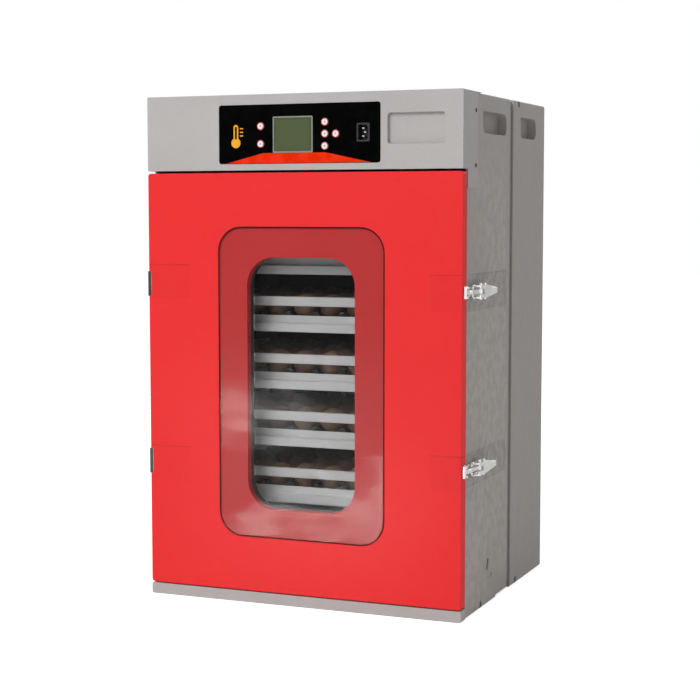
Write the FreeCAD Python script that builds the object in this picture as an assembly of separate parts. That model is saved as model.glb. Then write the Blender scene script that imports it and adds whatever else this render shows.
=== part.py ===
import FreeCAD, Part
import os
from math import cos, hypot, pi, radians, sin, sqrt

# Cabinet egg incubator: insulated cabinet with a windowed door, five roller trays of eggs,
# a control header, side toggle latches and a circulation fan.
# Millimetres.  X to the right, Z up, Y to the back.  Every function below measures y from the
# door's front face; save() moves the finished solid so that the origin is the base centre.

# ---- driving dimensions -------------------------------------------------------------------
WIDTH = 575.5            # across the door and the header
DEPTH = 480.0            # door front to cabinet back
HEIGHT = 870.0           # floor to header top
COVER_PROUD = 1.25       # how far the header's flanges stand off the shell
SHELL_WALL = 3.5
BASE_THICKNESS = 8.0
SHELL_CORNER = 4.0
SHELL_FRONT = 25.5       # y where the cabinet shell starts, behind the door
SEAM_FRONT = 261.0       # groove between front and rear shell
SEAM_BACK = 281.0

SILL_TOP = 19.0
DOOR_BOTTOM = 21.0
DOOR_TOP = 739.0
DOOR_DEPTH = 22.0
SKIN = 3.0
HEADER_BOTTOM = 743.0
HEADER_FLANGE_DEPTH = 75.0
HEADER_TOP_DEPTH = 95.0
HEADER_EAR_BOTTOM = 712.0
HEADER_CORNER = 2.5

PANE_HALF_WIDTH = 152.7
PANE_BOTTOM = 115.0
PANE_TOP = 648.0
PANE_CORNER = 43.0
GASKET_WIDTH = 2.0
SURROUND_DEPTH = 17.0    # where the red reveal meets the dark plug frame
SIGHT_HALF_WIDTH = 99.0
SIGHT_BOTTOM = 165.0
SIGHT_TOP = 596.0
SIGHT_CORNER = 48.0
PLUG_DEPTH = 32.0        # inner end of the window reveal

CHAMBER_HALF_WIDTH = 243.0
CHAMBER_BOTTOM = 34.0
CHAMBER_TOP = 700.0
CHAMBER_FRONT = 29.0
CHAMBER_BACK = 440.0
LINER_WALL = 2.0

TRAY_COUNT = 5
TRAY_PITCH = 99.6
TRAY_TOP_LOWEST = 228.6  # top of the lowest tray's upper rail
TRAY_HALF_WIDTH = 238.0
TRAY_FRONT = 60.0
TRAY_BACK = 384.0
TRAY_HEIGHT = 61.0
UPPER_RAIL = 16.0
LOWER_RAIL = 15.0
LIP_HEIGHT = 13.0
RAIL_DEPTH = 8.0
SHEET = 2.0
EGG_PITCH_X = 50.0
EGG_PITCH_Y = 61.0
EGG_COLUMNS = 8
EGG_ROWS = 5
EGG_FIRST_X = -180.0
EGG_RADIUS = 22.4
EGG_POINT = 33.0         # long half of the egg
EGG_RISE = 6.4           # egg top over the upper rail
ROLLER_RADIUS = 8.0
ROLLER_GAP = 0.4

HINGE_AXIS_X = -292.0
HINGE_AXIS_Y = 25.0      # in the gap between door and cabinet
HINGE_SPANS = ((215.0, 259.0), (527.0, 570.0))
KNUCKLE_RADIUS = 4.0
LEAF_THICKNESS = 1.2
LEAF_REACH = 5.5         # how far the door leaf wraps onto the door's face
HINGE_PIN_RADIUS = 1.8
RUNNING_FIT = 0.05

LATCH_HEIGHTS = {"upper": 543.0, "lower": 250.0}
LEVER_PIVOT = (291.5, 40.0)     # x, y of the lever's pin
HOOK_PIVOT = (297.5, 62.0)      # x, y of the hook's pin in the lever
HOOK_BAR = (291.4, 3.2)         # x, y of the cross bar, beside the door's front edge
LEVER_TIP = (308.5, 124.0)      # x, y of the finger tip
LATCH_PIN_RADIUS = 1.8
PAD_HEIGHTS = ((220, 275), (511, 571))         # z spans of the shallow side pads
PAD_DEPTH = 0.5

PANEL = (-149.0, 145.0, 754.0, 852.4)          # x, x, z, z of the black control panel
PANEL_FACE = -0.5
PANEL_BACK = 2.5
DISPLAY = (-45.6, 22.5, 774.4, 829.7)
BEZEL = (-48.0, 25.0, 771.7, 832.2)
INLET = (103.7, 126.6, 788.3, 818.7)
LABEL = (157.5, 256.3, 783.7, 834.3)
BUTTONS = {
    "button_menu": (-70.6, 816.5),
    "button_light": (-70.6, 787.0),
    "button_up": (46.8, 821.7),
    "button_set": (46.8, 802.3),
    "button_turn": (66.3, 802.0),
    "button_down": (46.7, 782.1),
}
BUTTON_RADIUS = 6.3
BUTTON_CLEARANCE = 0.4

GRIPS = ((106.0, 240.0), (324.0, 424.0))       # y spans of the hand grips
GRIP_BOTTOM = 804.0
GRIP_TOP = 840.5
GRIP_DEPTH = 17.0

FAN_Z = 330.0
FAN_FRONT = 405.0
FAN_HALF = 60.0
FAN_BORE = 56.0

# ---- derived ------------------------------------------------------------------------------
HALF = WIDTH / 2
SHELL_HALF = HALF - COVER_PROUD
SHELL_TOP = HEIGHT - COVER_PROUD - 0.25
INNER_HALF = SHELL_HALF - SHELL_WALL
INNER_TOP = SHELL_TOP - SHELL_WALL
SIDES = (-1, 1)
TRAY_TOPS = [TRAY_TOP_LOWEST + i * TRAY_PITCH for i in range(TRAY_COUNT)]


# ---- geometry helpers ---------------------------------------------------------------------
def point(plane, u, v, level):
    """3-D point of a sketch plane: xz is a front view, yz a side view, xy a plan."""
    if plane == "xz":
        return FreeCAD.Vector(u, level, v)
    if plane == "yz":
        return FreeCAD.Vector(level, u, v)
    return FreeCAD.Vector(u, v, level)


def outline(corners, radii, plane, level):
    """Closed wire through the corners, each rounded by its radius."""
    count = len(corners)
    stations = []
    for i, (u, v) in enumerate(corners):
        radius = radii[i]
        before = corners[i - 1]
        after = corners[(i + 1) % count]
        a = (before[0] - u, before[1] - v)
        b = (after[0] - u, after[1] - v)
        la = hypot(*a)
        lb = hypot(*b)
        a = (a[0] / la, a[1] / la)
        b = (b[0] / lb, b[1] / lb)
        if radius <= 0:
            stations.append(((u, v), None, (u, v)))
            continue
        cosine = a[0] * b[0] + a[1] * b[1]
        half_tan = sqrt((1 - cosine) / (1 + cosine))
        setback = radius / half_tan
        half_sin = sqrt((1 - cosine) / 2)
        bisector = (a[0] + b[0], a[1] + b[1])
        length = hypot(*bisector)
        reach = radius / half_sin - radius
        middle = (u + bisector[0] / length * reach, v + bisector[1] / length * reach)
        start = (u + a[0] * setback, v + a[1] * setback)
        end = (u + b[0] * setback, v + b[1] * setback)
        stations.append((start, middle, end))
    edges = []
    for i, (start, middle, end) in enumerate(stations):
        if middle:
            arc = Part.Arc(point(plane, *start, level), point(plane, *middle, level),
                           point(plane, *end, level))
            edges.append(arc.toShape())
        onward = stations[(i + 1) % count][0]
        if hypot(onward[0] - end[0], onward[1] - end[1]) > 1e-6:
            line = Part.LineSegment(point(plane, *end, level), point(plane, *onward, level))
            edges.append(line.toShape())
    return Part.Wire(edges)


def prism(corners, plane, low, high, radii=0.0):
    """Solid between two levels with a rounded outline."""
    if not isinstance(radii, (list, tuple)):
        radii = [radii] * len(corners)
    face = Part.Face(outline(corners, radii, plane, low))
    push = {"xz": (0, high - low, 0), "yz": (high - low, 0, 0), "xy": (0, 0, high - low)}
    return face.extrude(FreeCAD.Vector(*push[plane]))


def rectangle(u0, u1, v0, v1):
    return [(u0, v0), (u1, v0), (u1, v1), (u0, v1)]


def block(x0, x1, y0, y1, z0, z1):
    return Part.makeBox(x1 - x0, y1 - y0, z1 - z0, FreeCAD.Vector(x0, y0, z0))


def slab(x0, x1, z0, z1, y0, y1, radius=0.0):
    """Rounded rectangle of the front view, from depth y0 to y1."""
    return prism(rectangle(x0, x1, z0, z1), "xz", y0, y1, radius)


def frame_ring(outer, inner, y0, y1, outer_radius, inner_radius):
    ring = slab(*outer, y0, y1, outer_radius)
    return ring.cut(slab(*inner, y0 - 1, y1 + 1, inner_radius))


def rod(radius, start, end):
    """Round bar between two points."""
    a = FreeCAD.Vector(*start)
    b = FreeCAD.Vector(*end)
    return Part.makeCylinder(radius, (b - a).Length, a, b - a)


def grown(rect, margin):
    return (rect[0] - margin, rect[1] + margin, rect[2] - margin, rect[3] + margin)


def fuse(shapes):
    result = shapes[0]
    for shape in shapes[1:]:
        result = result.fuse(shape)
    return result.removeSplitter()


def save(name, shapes):
    """Write one node: a solid, or several separate solids as one group."""
    if not isinstance(shapes, list):
        shapes = [shapes]
    solids = []
    for shape in shapes:
        solids.extend(shape.Solids)
    shape = solids[0] if len(solids) == 1 else Part.makeCompound(solids)
    shape = shape.copy()
    shape.translate(FreeCAD.Vector(0, -DEPTH / 2, 0))
    shape.exportStep("parts/%s.step" % name)
    print(name, len(solids), "solids", round(shape.Volume / 1000, 1), "cm3", shape.isValid())


# ---- cabinet ------------------------------------------------------------------------------
def grip_outline(y0, y1, margin):
    """Hand grip seen from the side: one crisp front top corner, three generous ones."""
    corners = rectangle(y0 - margin, y1 + margin, GRIP_BOTTOM - margin, GRIP_TOP + margin)
    radii = [15.0 + margin, 15.0 + margin, 15.0 + margin, 3.0 + margin]
    return corners, radii


def grip_cutter(y0, y1, margin, x0, x1):
    corners, radii = grip_outline(y0, y1, margin)
    return prism(corners, "yz", x0, x1, radii)


def shell_tube(y0, y1):
    tube = slab(-SHELL_HALF, SHELL_HALF, 0, SHELL_TOP, y0, y1, SHELL_CORNER)
    return tube.cut(slab(-INNER_HALF, INNER_HALF, BASE_THICKNESS, INNER_TOP, y0 - 1, y1 + 1, 3.0))


def cut_grip(shell, y0, y1):
    for side in SIDES:
        low = min(side * (SHELL_HALF + 1), side * (INNER_HALF - 1))
        shell = shell.cut(grip_cutter(y0, y1, 0, low, low + SHELL_WALL + 2))
    return shell


def edge_notch(side, y, z0, z1):
    """Moulding notch in a side wall's top or bottom edge."""
    depth = 2.6
    low = min(side * (SHELL_HALF - depth), side * (SHELL_HALF + 1))
    return block(low, low + depth + 1, y - 4.5, y + 4.5, z0, z1)


def front_shell():
    shell = shell_tube(SHELL_FRONT, SEAM_FRONT)
    shell = cut_grip(shell, *GRIPS[0])
    for side in SIDES:
        face = side * SHELL_HALF
        # the side walls lift clear of the floor in front of the seam
        low = min(side * 60, side * HALF)
        shell = shell.cut(block(low, low + HALF - 60, 196, SEAM_FRONT + 1, -1, 5))
        low = min(face - side * PAD_DEPTH, face + side * 1)
        for z0, z1 in PAD_HEIGHTS:
            shell = shell.cut(block(low, low + PAD_DEPTH + 1, SHELL_FRONT - 1, 243, z0, z1))
        wall = min(face + side, face - side * (SHELL_WALL + 1))
        drain = [(140, 59), (150, 59), (156, 79), (146, 79)]
        shell = shell.cut(prism(drain, "yz", wall, wall + SHELL_WALL + 2, 3.5))
        low = min(face - side * 1.2, face + side)
        shell = shell.cut(prism(rectangle(150, 172, 43, 51), "yz", low, low + 2.2, 3.9))
        shell = shell.cut(edge_notch(side, 110, 1, 12))
    return shell


def rear_shell():
    shell = shell_tube(SEAM_BACK, DEPTH)
    back = slab(-SHELL_HALF, SHELL_HALF, 0, SHELL_TOP, DEPTH - SHELL_WALL, DEPTH, SHELL_CORNER)
    shell = fuse([shell, back])
    shell = cut_grip(shell, *GRIPS[1])
    # moulded louvres for the warm electronics behind the header
    for i in range(8):
        z = 764 + i * 8.5
        for x in (-84, 4):
            shell = shell.cut(slab(x, x + 80, z, z + 3.2, DEPTH - 8, DEPTH + 1, 1.5))
    for side in SIDES:
        shell = shell.cut(edge_notch(side, 315, 1, 12))
        shell = shell.cut(edge_notch(side, 314, 858, HEIGHT))
    return shell


def seam_band():
    overlap = 5.0
    return frame_ring((-INNER_HALF, INNER_HALF, BASE_THICKNESS, INNER_TOP),
                      (-INNER_HALF + 3, INNER_HALF - 3, BASE_THICKNESS + 3, INNER_TOP - 3),
                      SEAM_FRONT - overlap, SEAM_BACK + overlap, 3.0, 2.0)


def hand_grips():
    cups = []
    wall = 2.0
    for y0, y1 in GRIPS:
        for side in SIDES:
            mouth = side * INNER_HALF
            floor = side * (SHELL_HALF - GRIP_DEPTH - wall)
            low = min(mouth, floor)
            high = max(mouth, floor)
            cup = grip_cutter(y0, y1, wall, low, high)
            hollow_low = low + wall if side > 0 else low - 1
            hollow_high = high + 1 if side > 0 else high - wall
            cups.append(cup.cut(grip_cutter(y0, y1, 0, hollow_low, hollow_high)))
    return cups


def inner_liner():
    """Chamber box with the front flange that the door seal meets."""
    wall = LINER_WALL
    outer = block(-CHAMBER_HALF_WIDTH - wall, CHAMBER_HALF_WIDTH + wall, CHAMBER_FRONT,
                  CHAMBER_BACK + wall, CHAMBER_BOTTOM - wall, CHAMBER_TOP + wall)
    flange = slab(-INNER_HALF, INNER_HALF, BASE_THICKNESS, 741, 26, CHAMBER_FRONT, 3.0)
    return fuse([flange, outer]).cut(block(-CHAMBER_HALF_WIDTH, CHAMBER_HALF_WIDTH, 0,
                                           CHAMBER_BACK, CHAMBER_BOTTOM, CHAMBER_TOP))


def insulation():
    gap = 0.5
    wall = LINER_WALL + gap
    blanket = block(-INNER_HALF + 4, INNER_HALF - 4, CHAMBER_FRONT + gap, DEPTH - SHELL_WALL - 1,
                    BASE_THICKNESS + 4, 740)
    return blanket.cut(block(-CHAMBER_HALF_WIDTH - wall, CHAMBER_HALF_WIDTH + wall, 0,
                             CHAMBER_BACK + wall, CHAMBER_BOTTOM - wall, CHAMBER_TOP + wall))


def base_sill():
    sill = slab(-HALF, HALF, 0, SILL_TOP, 0, SHELL_FRONT, 3.0)
    return sill.cut(block(-HALF + 6, HALF - 6, 4, SHELL_FRONT + 1, 4, SILL_TOP - 4))


# ---- header -------------------------------------------------------------------------------
def header_cover():
    cover = block(-HALF, HALF, 0, HEADER_FLANGE_DEPTH, HEADER_BOTTOM, HEIGHT)
    cover = cover.fuse(block(-HALF, HALF, SHELL_FRONT, HEADER_FLANGE_DEPTH, HEADER_EAR_BOTTOM,
                             HEADER_BOTTOM))
    cover = cover.fuse(block(-HALF, HALF, HEADER_FLANGE_DEPTH, HEADER_TOP_DEPTH,
                             HEIGHT - COVER_PROUD, HEIGHT)).removeSplitter()
    edges = [edge for edge in cover.Edges
             if abs(edge.BoundBox.YLength) > 60 and edge.BoundBox.ZMax > HEIGHT - 0.1]
    cover = cover.makeFillet(HEADER_CORNER, edges)
    cover = cover.cut(block(-HALF + SKIN, HALF - SKIN, SKIN, SHELL_FRONT, HEADER_BOTTOM + SKIN,
                            HEIGHT - SKIN))
    cover = cover.cut(slab(-SHELL_HALF, SHELL_HALF, 0, SHELL_TOP, SHELL_FRONT,
                           HEADER_TOP_DEPTH + 1, SHELL_CORNER - COVER_PROUD))
    cover = cover.cut(slab(*grown(PANEL, 0.3), -1, SKIN + 1, 4.3))
    # sunk label field, moulded into the cover
    cup = slab(*grown(LABEL, 2.5), SKIN - 1, 8.5, 7.0)
    return fuse([cover, cup]).cut(slab(*LABEL, -1, 6.5, 5.0))


def header_screws():
    heads = []
    for side in SIDES:
        for z in (749.5, 839.0):
            face = side * HALF
            head = rod(3.6, (face, 65, z), (face + side * 1.4, 65, z))
            low = min(face + side * 0.7, face + side * 1.5)
            heads.append(head.cut(block(low, low + 0.8, 64.6, 65.4, z - 4, z + 4)))
    return heads


def control_panel():
    panel = slab(*PANEL, PANEL_FACE, PANEL_BACK, 4.0)
    for x, z in BUTTONS.values():
        panel = panel.cut(rod(BUTTON_RADIUS + BUTTON_CLEARANCE, (x, -2, z), (x, 4, z)))
    panel = panel.cut(slab(*DISPLAY, -2, 4, 1.0))
    return panel.cut(slab(*INLET, -2, 4, 1.5))


def panel_graphics():
    """Warm accent wedge under the display and a thermometer sign beside it."""
    thin = 0.4
    wedge = prism([(-135.0, 754.6), (129.0, 754.6), (47.5, 771.6), (-66.5, 771.6)], "xz",
                  PANEL_FACE - thin, PANEL_FACE)
    bulb = rod(8.5, (-117, PANEL_FACE - thin, 789), (-117, PANEL_FACE, 789))
    stem = slab(-121.5, -112.5, 789, 819.5, PANEL_FACE - thin, PANEL_FACE, 4.4)
    sign = fuse([bulb, stem])
    sign = sign.cut(slab(-118.8, -115.2, 795, 816.5, -2, 2, 1.7))
    ticks = [block(-109.5, -103.5, PANEL_FACE - thin, PANEL_FACE, z, z + 2) for z in (800, 806, 812)]
    return [wedge, sign] + ticks


def display_bezel():
    return frame_ring(BEZEL, DISPLAY, PANEL_FACE - 1.0, PANEL_FACE, 2.0, 1.0)


def display_lens():
    return slab(*grown(DISPLAY, -0.1), PANEL_FACE - 0.5, 1.5, 0.9)


def button(x, z):
    cap = rod(BUTTON_RADIUS, (x, PANEL_FACE - 1.8, z), (x, 3.0, z))
    cap = cap.makeFillet(0.8, [cap.Edges[0] if cap.Edges[0].BoundBox.YMax < 0 else cap.Edges[2]])
    flange = rod(8.0, (x, 2.9, z), (x, 4.1, z))
    return fuse([cap, flange])


def power_inlet():
    x0, x1, z0, z1 = INLET
    body = slab(x0, x1, z0, z1, PANEL_FACE - 0.8, 20, 1.5)
    inner = [(x0 + 2.7, z0 + 2.7), (x1 - 5.7, z0 + 2.7), (x1 - 2.7, z0 + 7.2),
             (x1 - 2.7, z1 - 7.2), (x1 - 5.7, z1 - 2.7), (x0 + 2.7, z1 - 2.7)]
    return body.cut(prism(inner, "xz", -3, 16, [1.0, 0.5, 0.5, 0.5, 0.5, 1.0]))


def inlet_pins():
    blades = []
    for x, z in ((113.7, 810.0), (116.9, 803.5), (113.7, 797.0)):
        blades.append(block(x - 2.0, x + 2.0, 3.0, 16.0, z - 1.0, z + 1.0))
    return blades


def control_board():
    board = block(-140, 95, 12, 13.6, 760, 848)
    pieces = [board, block(-44, 21, 3.0, 12, 776, 828)]
    for x, z in BUTTONS.values():
        pieces.append(block(x - 3, x + 3, 8.0, 12, z - 3, z + 3))
        pieces.append(rod(1.5, (x, 6.0, z), (x, 8.1, z)))
    pieces.append(block(70, 90, 13.6, 22, 765, 795))
    pieces.append(block(-130, -100, 13.6, 22, 770, 800))
    return fuse(pieces)


# ---- door ---------------------------------------------------------------------------------
DOOR = (-HALF, HALF, DOOR_BOTTOM, DOOR_TOP)
PANE = (-PANE_HALF_WIDTH, PANE_HALF_WIDTH, PANE_BOTTOM, PANE_TOP)
SIGHT = (-SIGHT_HALF_WIDTH, SIGHT_HALF_WIDTH, SIGHT_BOTTOM, SIGHT_TOP)


def door_skin():
    skin = slab(*DOOR, 0, DOOR_DEPTH, 5.0)
    skin = skin.cut(slab(*grown(DOOR, -SKIN), SKIN, DOOR_DEPTH + 1, 2.0))
    skin = skin.cut(slab(*PANE, -1, SKIN + 1, PANE_CORNER))
    return skin


def door_foam():
    foam = slab(*grown(DOOR, -SKIN - 0.3), SKIN + 0.3, DOOR_DEPTH - SKIN, 2.0)
    foam = foam.cut(slab(*grown(PANE, 14), 0, 9, PANE_CORNER + 14))
    return foam.cut(slab(*grown(SIGHT, 3.5), 0, DOOR_DEPTH, SIGHT_CORNER + 3.5))


def door_liner():
    liner = slab(*grown(DOOR, -SKIN), DOOR_DEPTH - SKIN, DOOR_DEPTH, 2.0)
    return liner.cut(slab(*grown(SIGHT, 3), 0, DOOR_DEPTH + 1, SIGHT_CORNER + 3))


def window_gasket():
    return frame_ring(PANE, grown(PANE, -GASKET_WIDTH), 0.2, SKIN, PANE_CORNER,
                      PANE_CORNER - GASKET_WIDTH)


def outer_pane():
    margin = GASKET_WIDTH + 0.1
    return slab(*grown(PANE, -margin), 0.4, SKIN, PANE_CORNER - margin)


def window_surround():
    plate = frame_ring(grown(PANE, 12), SIGHT, SKIN, 5.0, PANE_CORNER + 12, SIGHT_CORNER)
    reveal = frame_ring(grown(SIGHT, 3), SIGHT, 5.0, SURROUND_DEPTH, SIGHT_CORNER + 3, SIGHT_CORNER)
    return fuse([plate, reveal])


def plug_frame():
    nose = frame_ring(grown(SIGHT, 3), SIGHT, SURROUND_DEPTH, DOOR_DEPTH, SIGHT_CORNER + 3, SIGHT_CORNER)
    flange = frame_ring(grown(SIGHT, 24), SIGHT, DOOR_DEPTH, 24.0, SIGHT_CORNER + 24, SIGHT_CORNER)
    tube = frame_ring(grown(SIGHT, 8), SIGHT, 24.0, PLUG_DEPTH, SIGHT_CORNER + 8, SIGHT_CORNER)
    return fuse([nose, flange, tube])


def inner_pane():
    return slab(*grown(SIGHT, -0.2), PLUG_DEPTH - 4, PLUG_DEPTH - 1, SIGHT_CORNER - 0.2)


def door_gasket():
    return frame_ring((-262, 262, 23, 718), (-250, 250, 31, 706), DOOR_DEPTH, 25.7, 14.0, 6.0)


# ---- hinges -------------------------------------------------------------------------------
def knuckle(z0, z1):
    return rod(KNUCKLE_RADIUS, (HINGE_AXIS_X, HINGE_AXIS_Y, z0), (HINGE_AXIS_X, HINGE_AXIS_Y, z1))


def door_knuckle_span(z0, z1):
    third = (z1 - z0) / 3
    return z0 + third, z1 - third


def door_hinges():
    """Leaves that wrap round the door's edge from its face to the knuckle behind it."""
    leaves = []
    side = -HALF - LEAF_THICKNESS
    for z0, z1 in HINGE_SPANS:
        k0, k1 = door_knuckle_span(z0, z1)
        face_strip = block(side, -HALF + LEAF_REACH, -LEAF_THICKNESS, 0, z0, z1)
        edge_strip = block(side, -HALF, -LEAF_THICKNESS, 20.5, z0, z1)
        neck = block(HINGE_AXIS_X, -HALF, 19.5, 22.0, k0, k1)
        pin_bore = rod(HINGE_PIN_RADIUS + RUNNING_FIT, (HINGE_AXIS_X, HINGE_AXIS_Y, k0 - 1),
                       (HINGE_AXIS_X, HINGE_AXIS_Y, k1 + 1))
        leaves.append(fuse([face_strip, edge_strip, neck, knuckle(k0, k1)]).cut(pin_bore))
    return leaves + hinge_screws()


def cabinet_hinges():
    leaves = []
    outer = -SHELL_HALF - 1.8
    for z0, z1 in HINGE_SPANS:
        k0, k1 = door_knuckle_span(z0, z1)
        pieces = [block(outer, -SHELL_HALF, HINGE_AXIS_Y + 4, 62, z0, z1)]
        for low, high in ((z0, k0 - 0.4), (k1 + 0.4, z1)):
            pieces.append(knuckle(low, high))
            pieces.append(block(HINGE_AXIS_X, -SHELL_HALF, HINGE_AXIS_Y + 2, HINGE_AXIS_Y + 6, low, high))
        pieces.append(rod(HINGE_PIN_RADIUS, (HINGE_AXIS_X, HINGE_AXIS_Y, z0),
                          (HINGE_AXIS_X, HINGE_AXIS_Y, z1)))
        leaves.append(fuse(pieces))
    return leaves


def hinge_screws():
    heads = []
    x = -HALF + LEAF_REACH / 2
    front = -LEAF_THICKNESS
    for z0, z1 in HINGE_SPANS:
        for z in (z0 + 6.5, z1 - 6.5):
            heads.append(rod(1.9, (x, front - 0.6, z), (x, front, z)))
    return heads


# ---- latches ------------------------------------------------------------------------------
def latch_bases():
    bases = []
    x, y = LEVER_PIVOT
    face = SHELL_HALF - PAD_DEPTH
    for z in LATCH_HEIGHTS.values():
        plate = prism(rectangle(33, 108, z - 8, z + 8), "yz", face, face + 1.8, 3.0)
        lugs = []
        for side in SIDES:
            low = min(z + side * 5.6, z + side * 7.6)
            lug = block(face, x, y - 3.0, y + 3.0, low, low + 2.0)
            lugs.append(lug.fuse(rod(3.0, (x, y, low), (x, y, low + 2.0))))
        base = fuse([plate] + lugs)
        bore = rod(LATCH_PIN_RADIUS + RUNNING_FIT, (x, y, z - 9), (x, y, z + 9))
        bases.append(base.cut(bore))
    return bases


def latch_lever(z):
    """Cast lever: two cheeks and a back, raised and narrowed to a finger tip, with pin bosses."""
    px, py = LEVER_PIVOT
    hx, hy = HOOK_PIVOT
    tx, ty = LEVER_TIP
    side_view = [(px - 2.6, py), (px, py - 2.6), (px + 8, py - 1.0), (304.5, py + 5), (305.0, 88),
                 (tx, ty), (tx - 3, ty), (297.0, 88), (290.6, 80), (290.6, py + 6)]
    body = prism(side_view, "xy", z - 10.5, z + 10.5, [0.8, 0.8, 2, 3, 20, 1, 1, 8, 4, 2])
    hollow = [(px - 4, py - 4), (302.8, py - 4), (303.2, 88), (tx - 1.8, ty + 2), (285, ty + 2)]
    body = body.cut(prism(hollow, "xy", z - 8.6, z + 8.6))
    # slot in the back for the hook's stem when the lever stands open
    body = body.cut(block(300, 310, py - 3, hy + 6, z - 4.2, z + 4.2))
    plan = [(py - 4, z - 10.5), (82, z - 10.5), (ty + 1, z - 4.0), (ty + 1, z + 4.0), (82, z + 10.5),
            (py - 4, z + 10.5)]
    body = body.common(prism(plan, "yz", 280, 312, [0, 12, 2, 2, 12, 0]))
    # grip ribs across the tip
    ribs = []
    for i in range(4):
        x = tx - 2.0 + i * 0.4
        y = 104 + i * 5
        ribs.append(block(x - 3.4, x + 0.6, y, y + 2, z - 4.5, z + 4.5))
    pins = [rod(LATCH_PIN_RADIUS, (px, py, z - 10.4), (px, py, z + 10.4)),
            rod(LATCH_PIN_RADIUS, (hx, hy, z - 10.4), (hx, hy, z + 10.4))]
    for side in SIDES:
        inner = z + side * 8.8
        pins.append(rod(3.6, (hx, hy, inner), (hx, hy, z + side * 13.5)))
        pins.append(rod(2.6, (px + 1.5, py + 2, inner), (px + 1.5, py + 2, z + side * 11.8)))
        pins.append(rod(2.8, (hx + 3, hy + 15, inner), (hx + 3, hy + 15, z + side * 13.5)))
    return fuse([body] + ribs + pins)


def latch_hook(z):
    """Slanted stem from the lever's pin to a cross bar in front of the keeper."""
    bx, by = HOOK_BAR
    hx, hy = HOOK_PIVOT
    half = 1.3
    slant = [(bx - half, by), (bx + half, by), (hx + half, hy), (hx - half, hy)]
    stem = prism(slant, "xy", z - 3.6, z + 3.6)
    bar = rod(2.5, (bx, by, z - 10), (bx, by, z + 10))
    collar = rod(3.4, (bx + 1.6, by + 16, z), (bx + 2.2, by + 22, z)).common(
        block(280, 310, 0, 60, z - 3.4, z + 3.4))
    eye = rod(4.0, (hx, hy, z - 3.6), (hx, hy, z + 3.6))
    hook = fuse([stem, bar, eye, collar])
    return hook.cut(rod(LATCH_PIN_RADIUS + RUNNING_FIT, (hx, hy, z - 5), (hx, hy, z + 5)))


def latch_keepers():
    keepers = []
    for z in LATCH_HEIGHTS.values():
        plate = prism(rectangle(6.2, 20, z - 9.8, z + 9.8), "yz", HALF, HALF + 1.2, 2.0)
        prongs = []
        for side in SIDES:
            low = min(z + side * 5.2, z + side * 9.8)
            prongs.append(block(HALF, 295.5, 6.2, 9.0, low, low + 4.6))
        keepers.append(fuse([plate] + prongs))
    return keepers


# ---- trays --------------------------------------------------------------------------------
def roller_height(top):
    """Height of the roller centres so that each egg lies between two rollers."""
    reach = EGG_RADIUS + ROLLER_RADIUS + ROLLER_GAP
    egg_centre = top + EGG_RISE - EGG_RADIUS
    return egg_centre - sqrt(reach * reach - (EGG_PITCH_X / 2) ** 2)


def tray(top):
    bottom = top - TRAY_HEIGHT
    half = TRAY_HALF_WIDTH
    lip_front = TRAY_FRONT + RAIL_DEPTH + 2
    lip_top = bottom + LOWER_RAIL + LIP_HEIGHT
    front = TRAY_FRONT
    pieces = [
        block(-half, half, front, front + RAIL_DEPTH, top - UPPER_RAIL, top),
        block(-half, half, front, lip_front + SHEET, bottom, bottom + LOWER_RAIL),
        block(-half, half, lip_front, lip_front + SHEET, bottom, lip_top),
        block(-half, half, TRAY_BACK - SHEET, TRAY_BACK, bottom, top - UPPER_RAIL),
        block(-half, half, lip_front, TRAY_BACK, bottom, bottom + SHEET),
    ]
    for side in SIDES:
        edge = side * half
        low = min(edge, edge - side * SHEET)
        pieces.append(block(low, low + SHEET, front, TRAY_BACK, bottom, top))
        low = min(edge, edge - side * 14)
        pieces.append(block(low, low + 14, front, front + RAIL_DEPTH, bottom, top))
    return fuse(pieces)


def tray_rollers(top):
    lip_back = TRAY_FRONT + RAIL_DEPTH + 2 + SHEET
    rollers = []
    z = roller_height(top)
    for column in range(EGG_COLUMNS + 1):
        x = EGG_FIRST_X + (column - 0.5) * EGG_PITCH_X
        rollers.append(rod(ROLLER_RADIUS, (x, lip_back, z), (x, TRAY_BACK - SHEET, z)))
    return rollers


def egg(x, y, z):
    """Egg lying along Y, blunt end to the front."""
    centre = FreeCAD.Vector(x, y, z)
    circle = Part.Circle(centre, FreeCAD.Vector(1, 0, 0), EGG_RADIUS)
    tip = FreeCAD.Vector(x, y + EGG_POINT, z)
    side = FreeCAD.Vector(x, y, z + EGG_RADIUS)
    ellipse = Part.Ellipse(tip, side, centre)
    blunt = FreeCAD.Vector(x, y - EGG_RADIUS, z)
    reach = EGG_RADIUS * cos(pi / 4)
    round_end = Part.Arc(blunt, FreeCAD.Vector(x, y - reach, z + reach), side).toShape()
    start = ellipse.parameter(tip)
    end = ellipse.parameter(side)
    if end < start:
        start, end = end, start
    point_end = Part.ArcOfEllipse(ellipse, start, end).toShape()
    axis = Part.LineSegment(tip, blunt).toShape()
    half_section = Part.Face(Part.Wire(Part.__sortEdges__([round_end, point_end, axis])))
    return half_section.revolve(centre, FreeCAD.Vector(0, 1, 0), 360)


def eggs(top):
    first_y = TRAY_FRONT + RAIL_DEPTH + 2 + SHEET + EGG_RADIUS + 0.8
    laid = []
    for row in range(EGG_ROWS):
        for column in range(EGG_COLUMNS):
            laid.append(egg(EGG_FIRST_X + column * EGG_PITCH_X, first_y + row * EGG_PITCH_Y,
                            top + EGG_RISE - EGG_RADIUS))
    return laid


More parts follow.
